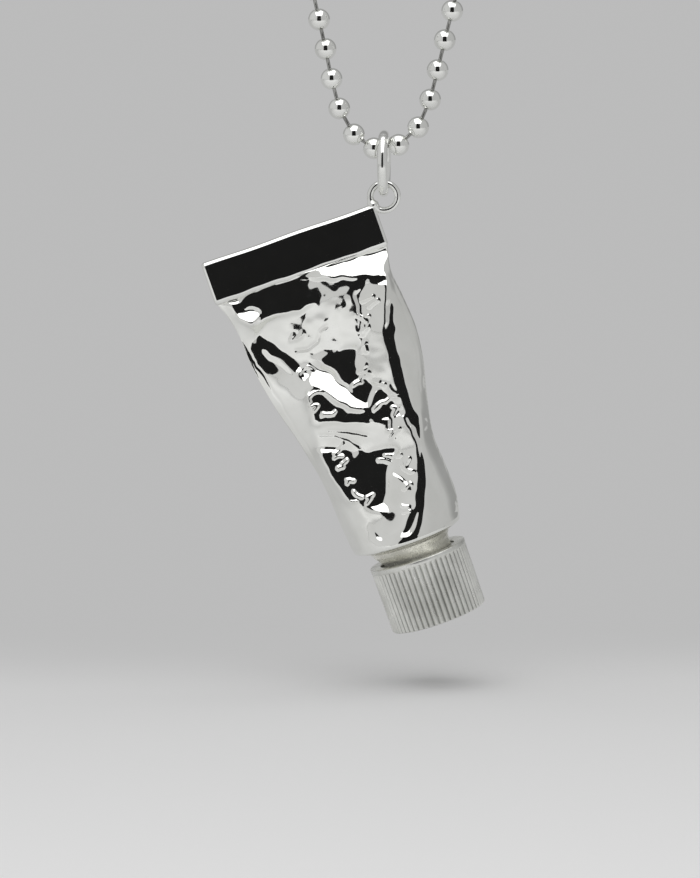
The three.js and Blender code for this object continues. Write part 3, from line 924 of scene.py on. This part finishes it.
def make_cap(satin, grooves):
    """Outward over the flat end, up the ribs and flange, and down the threaded bore to its floor."""
    flange = CAP_HEIGHT - CAP_FLANGE_T

    def grip(z):
        return CAP_END_R + (CAP_TOP_R - CAP_END_R) * z / CAP_HEIGHT

    bevel = CAP_END_BEVEL
    rings = [cap_ring(r, 0) for r in (0.02, 1.5, 3.0, 4.6, grip(0) - bevel - 0.25)]
    first_groove_row = len(rings) + 2
    for t in np.linspace(0, math.pi / 2, 7):
        reach = grip(0) - bevel + bevel * math.sin(t)
        rings.append(cap_ring(reach, bevel - bevel * math.cos(t), ribs=0.4 + 0.6 * t / (math.pi / 2)))
    rings += [cap_ring(grip(z), z, ribs=1) for z in np.linspace(bevel + 0.1, flange - 0.25, 24)]
    last_groove_row = len(rings) - 1
    rings += [cap_ring(grip(flange), flange - d, ribs=f) for d, f in ((0.16, 0.9), (0.1, 0.6), (0.05, 0.25))]
    rings += [cap_ring(CAP_FLANGE_R - 0.02, flange), cap_ring(CAP_FLANGE_R, flange + 0.05)]
    rings += [cap_ring(CAP_FLANGE_R, CAP_HEIGHT - 0.1), cap_ring(CAP_FLANGE_R - 0.03, CAP_HEIGHT - 0.03)]
    rings += [cap_ring(r, CAP_HEIGHT) for r in (CAP_FLANGE_R - 0.1, 5.0, CAP_BORE_R + 0.14)]
    rings += [cap_ring(CAP_BORE_R + 0.03, CAP_HEIGHT - 0.05), cap_ring(CAP_BORE_R, CAP_HEIGHT - 0.16)]
    for z in np.arange(CAP_HEIGHT - 0.24, 2.8, -0.09):
        fade = float(smoothstep(z, 2.8, 3.3) * (1 - smoothstep(z, 6.8, 7.3)))
        rings.append(cap_ring(CAP_BORE_R, z, ridge=max(fade, 1e-6)))
    rings += [cap_ring(CAP_BORE_R, z) for z in (2.0, CAP_FLOOR + 0.15)]
    rings += [cap_ring(r, CAP_FLOOR) for r in (CAP_BORE_R - 0.15, 2.5, 0.02)]
    points, faces = ring_stack(np.array(rings))
    face_material = np.zeros(len(faces), np.int32)
    column = np.arange(CAP_COLUMNS) % COLUMNS_PER_RIB
    groove_columns = np.flatnonzero((column == 0) | (column == COLUMNS_PER_RIB - 1))
    for row in range(first_groove_row, last_groove_row + 1):
        face_material[row * CAP_COLUMNS + groove_columns] = 1
    return piece(
        "ribbed_cap", in_tube_frame(points), faces, [satin, grooves], "cap", ["screw_cap"],
        face_material,
    )


def make_seal(material):
    """A disc whose upper face is slightly raised round its edge."""
    high = SEAL_LOW + SEAL_T
    profile = [
        (0.02, SEAL_LOW), (2.6, SEAL_LOW), (2.8, SEAL_LOW + 0.05), (SEAL_R - 0.12, SEAL_LOW + 0.02),
        (SEAL_R, SEAL_LOW + 0.14), (SEAL_R, high - 0.14), (SEAL_R - 0.12, high), (3.4, high),
        (3.2, high - 0.06), (0.02, high - 0.06),
    ]
    points, faces = turned(profile, SEAL_COLUMNS)
    return piece("liner_disc", in_tube_frame(points), faces, [material], "seal", ["cap_seal"])


# ---- the studio -----------------------------------------------------------------------------

FLOOR_DROP = 0.0061          # from the cap's lowest point to the floor
# the floor's colour from front to back is painted light: brightest in front and painted darker behind
FLOOR_LIT_FRONT_TONE = 1.0
FLOOR_SHADED_BACK_TONE = 0.67
BACKDROP = 0.50
LEFT_SIDE_TONE = 1.0         # the tent's left side is brighter than its right
RIGHT_SIDE_TONE = 0.80

CARD_AHEAD = 0.30            # the black card in front, which the flat areas mirror
CARD_HALF_WIDTH = 0.112
CARD_TOP = 0.29
CARD_TONE = 0.012

OVERHEAD_OFFSET = Vector((0, -0.12, 0.45))
OVERHEAD_SIZE = (0.5, 0.55)
OVERHEAD_POWER = 1.15


def emission(name, tone):
    material = bpy.data.materials.new(name)
    material.use_nodes = True
    tree = material.node_tree
    tree.nodes.clear()
    out = tree.nodes.new("ShaderNodeOutputMaterial")
    light = tree.nodes.new("ShaderNodeEmission")
    light.inputs["Color"].default_value = (tone, tone, tone, 1)
    light.inputs["Strength"].default_value = 1.0
    tree.links.new(light.outputs[0], out.inputs["Surface"])
    return material


def stage_plane(name, corners, material):
    mesh = bpy.data.meshes.new(name)
    mesh.from_pydata([list(c) for c in corners], [], [(0, 1, 2, 3)])
    mesh.materials.append(material)
    obj = bpy.data.objects.new(name, mesh)
    bpy.context.scene.collection.objects.link(obj)
    return obj


def floor_material():
    """Pale and matte near the pendant, with painted shade that darkens its colour towards the back, and
    running into the backdrop's grey behind it.
    """
    material = bpy.data.materials.new("pale_floor")
    material.use_nodes = True
    tree = material.node_tree
    shader = tree.nodes["Principled BSDF"]
    shader.inputs["Roughness"].default_value = 0.6
    shader.inputs["Specular IOR Level"].default_value = 0.2
    place = tree.nodes.new("ShaderNodeTexCoord")
    split = tree.nodes.new("ShaderNodeSeparateXYZ")
    tree.links.new(place.outputs["Object"], split.inputs[0])

    # painted fall-off of the light: the colour is brightest in front and darker towards the back
    tone = tree.nodes.new("ShaderNodeMapRange")
    tone.inputs["From Min"].default_value = -0.22
    tone.inputs["From Max"].default_value = 0.03
    tone.inputs["To Min"].default_value = FLOOR_LIT_FRONT_TONE
    tone.inputs["To Max"].default_value = FLOOR_SHADED_BACK_TONE
    tree.links.new(split.outputs["Y"], tone.inputs["Value"])
    tree.links.new(tone.outputs[0], shader.inputs["Base Color"])

    wave = tree.nodes.new("ShaderNodeTexNoise")
    wave.inputs["Scale"].default_value = 18
    tree.links.new(place.outputs["Object"], wave.inputs["Vector"])
    wavy = tree.nodes.new("ShaderNodeMath")
    wavy.operation = "MULTIPLY_ADD"
    wavy.inputs[1].default_value = 0.03
    tree.links.new(wave.outputs["Fac"], wavy.inputs[0])
    tree.links.new(split.outputs["Y"], wavy.inputs[2])
    far = tree.nodes.new("ShaderNodeMapRange")
    far.interpolation_type = "SMOOTHSTEP"
    far.inputs["From Min"].default_value = 0.012
    far.inputs["From Max"].default_value = 0.06
    tree.links.new(wavy.outputs[0], far.inputs["Value"])

    grey = tree.nodes.new("ShaderNodeEmission")
    grey.inputs["Color"].default_value = (BACKDROP, BACKDROP, BACKDROP, 1)
    mix = tree.nodes.new("ShaderNodeMixShader")
    tree.links.new(far.outputs[0], mix.inputs["Fac"])
    tree.links.new(shader.outputs[0], mix.inputs[1])
    tree.links.new(grey.outputs[0], mix.inputs[2])
    tree.links.new(mix.outputs[0], tree.nodes["Material Output"].inputs["Surface"])
    return material


def make_world():
    """A light tent: bright cloth in front, darker at the sides, and the backdrop's grey behind."""
    world = bpy.data.worlds.new("tent")
    bpy.context.scene.world = world
    world.use_nodes = True
    tree = world.node_tree
    background = tree.nodes["Background"]
    place = tree.nodes.new("ShaderNodeTexCoord")
    split = tree.nodes.new("ShaderNodeSeparateXYZ")
    tree.links.new(place.outputs["Generated"], split.inputs[0])
    depth = tree.nodes.new("ShaderNodeValToRGB")
    ramp = depth.color_ramp
    behind_tone = BACKDROP / (0.5 * (LEFT_SIDE_TONE + RIGHT_SIDE_TONE))
    stops = [(0.0, 0.62), (0.35, 0.60), (0.62, 0.41), (0.84, 0.35), (0.94, behind_tone), (1.0, behind_tone)]
    while len(ramp.elements) < len(stops):
        ramp.elements.new(0.5)
    for element, (at, tone) in zip(ramp.elements, stops):
        element.position = at
        element.color = (tone, tone, tone, 1)
    tree.links.new(split.outputs["Y"], depth.inputs["Fac"])
    sides = tree.nodes.new("ShaderNodeMapRange")
    sides.inputs["From Min"].default_value = -0.8
    sides.inputs["From Max"].default_value = 0.8
    sides.inputs["To Min"].default_value = LEFT_SIDE_TONE
    sides.inputs["To Max"].default_value = RIGHT_SIDE_TONE
    tree.links.new(split.outputs["X"], sides.inputs["Value"])
    product = tree.nodes.new("ShaderNodeMath")
    product.operation = "MULTIPLY"
    tree.links.new(depth.outputs["Color"], product.inputs[0])
    tree.links.new(sides.outputs[0], product.inputs[1])
    tree.links.new(product.outputs[0], background.inputs["Color"])
    background.inputs["Strength"].default_value = 1.0


def area_light(name, location, target, size, power):
    data = bpy.data.lights.new(name, "AREA")
    data.shape = "RECTANGLE"
    data.size, data.size_y = size
    data.energy = power
    light = bpy.data.objects.new(name, data)
    light.location = location
    light.rotation_euler = (Vector(target) - Vector(location)).to_track_quat("-Z", "Y").to_euler()
    bpy.context.scene.collection.objects.link(light)


def make_floor(height):
    """It runs far enough back that its end stays above the picture."""
    side, front, back = 3, -3, 14
    corners = [(-side, front, height), (side, front, height), (side, back, height), (-side, back, height)]
    stage_plane("floor", corners, floor_material())


def make_card(foot):
    """The black card stands on the floor in front, and only mirrors show it."""
    left, right = LOOK_AT.x - CARD_HALF_WIDTH, LOOK_AT.x + CARD_HALF_WIDTH
    ahead, top = LOOK_AT.y - CARD_AHEAD, LOOK_AT.z + CARD_TOP
    corners = [(left, ahead, foot), (right, ahead, foot), (right, ahead, top), (left, ahead, top)]
    card = stage_plane("black_card", corners, emission("black_card", CARD_TONE))
    card.visible_camera = False
    card.visible_shadow = False
    card.visible_diffuse = False


def make_studio():
    cap_low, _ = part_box("screw_cap")
    floor_height = cap_low.z - FLOOR_DROP
    make_floor(floor_height)
    make_card(floor_height)
    make_world()
    area_light("overhead", LOOK_AT + OVERHEAD_OFFSET, LOOK_AT, OVERHEAD_SIZE, OVERHEAD_POWER)


# ---- put it together ------------------------------------------------------------------------

make_chain()
rings = ring_silver()
make_jump_ring(rings)
make_bail(rings)
make_tube(polished_silver(), neck_silver())
make_band(band_silver())
make_cap(
    satin_silver("satin_silver", (0.66, 0.665, 0.63), (0.86, 0.865, 0.83)),
    satin_silver("groove_silver", (0.30, 0.302, 0.285), (0.48, 0.484, 0.46)),
)
make_seal(seal_liner())
make_studio()

scene = bpy.context.scene
scene.view_settings.view_transform = "Standard"
scene.view_settings.look = "None"
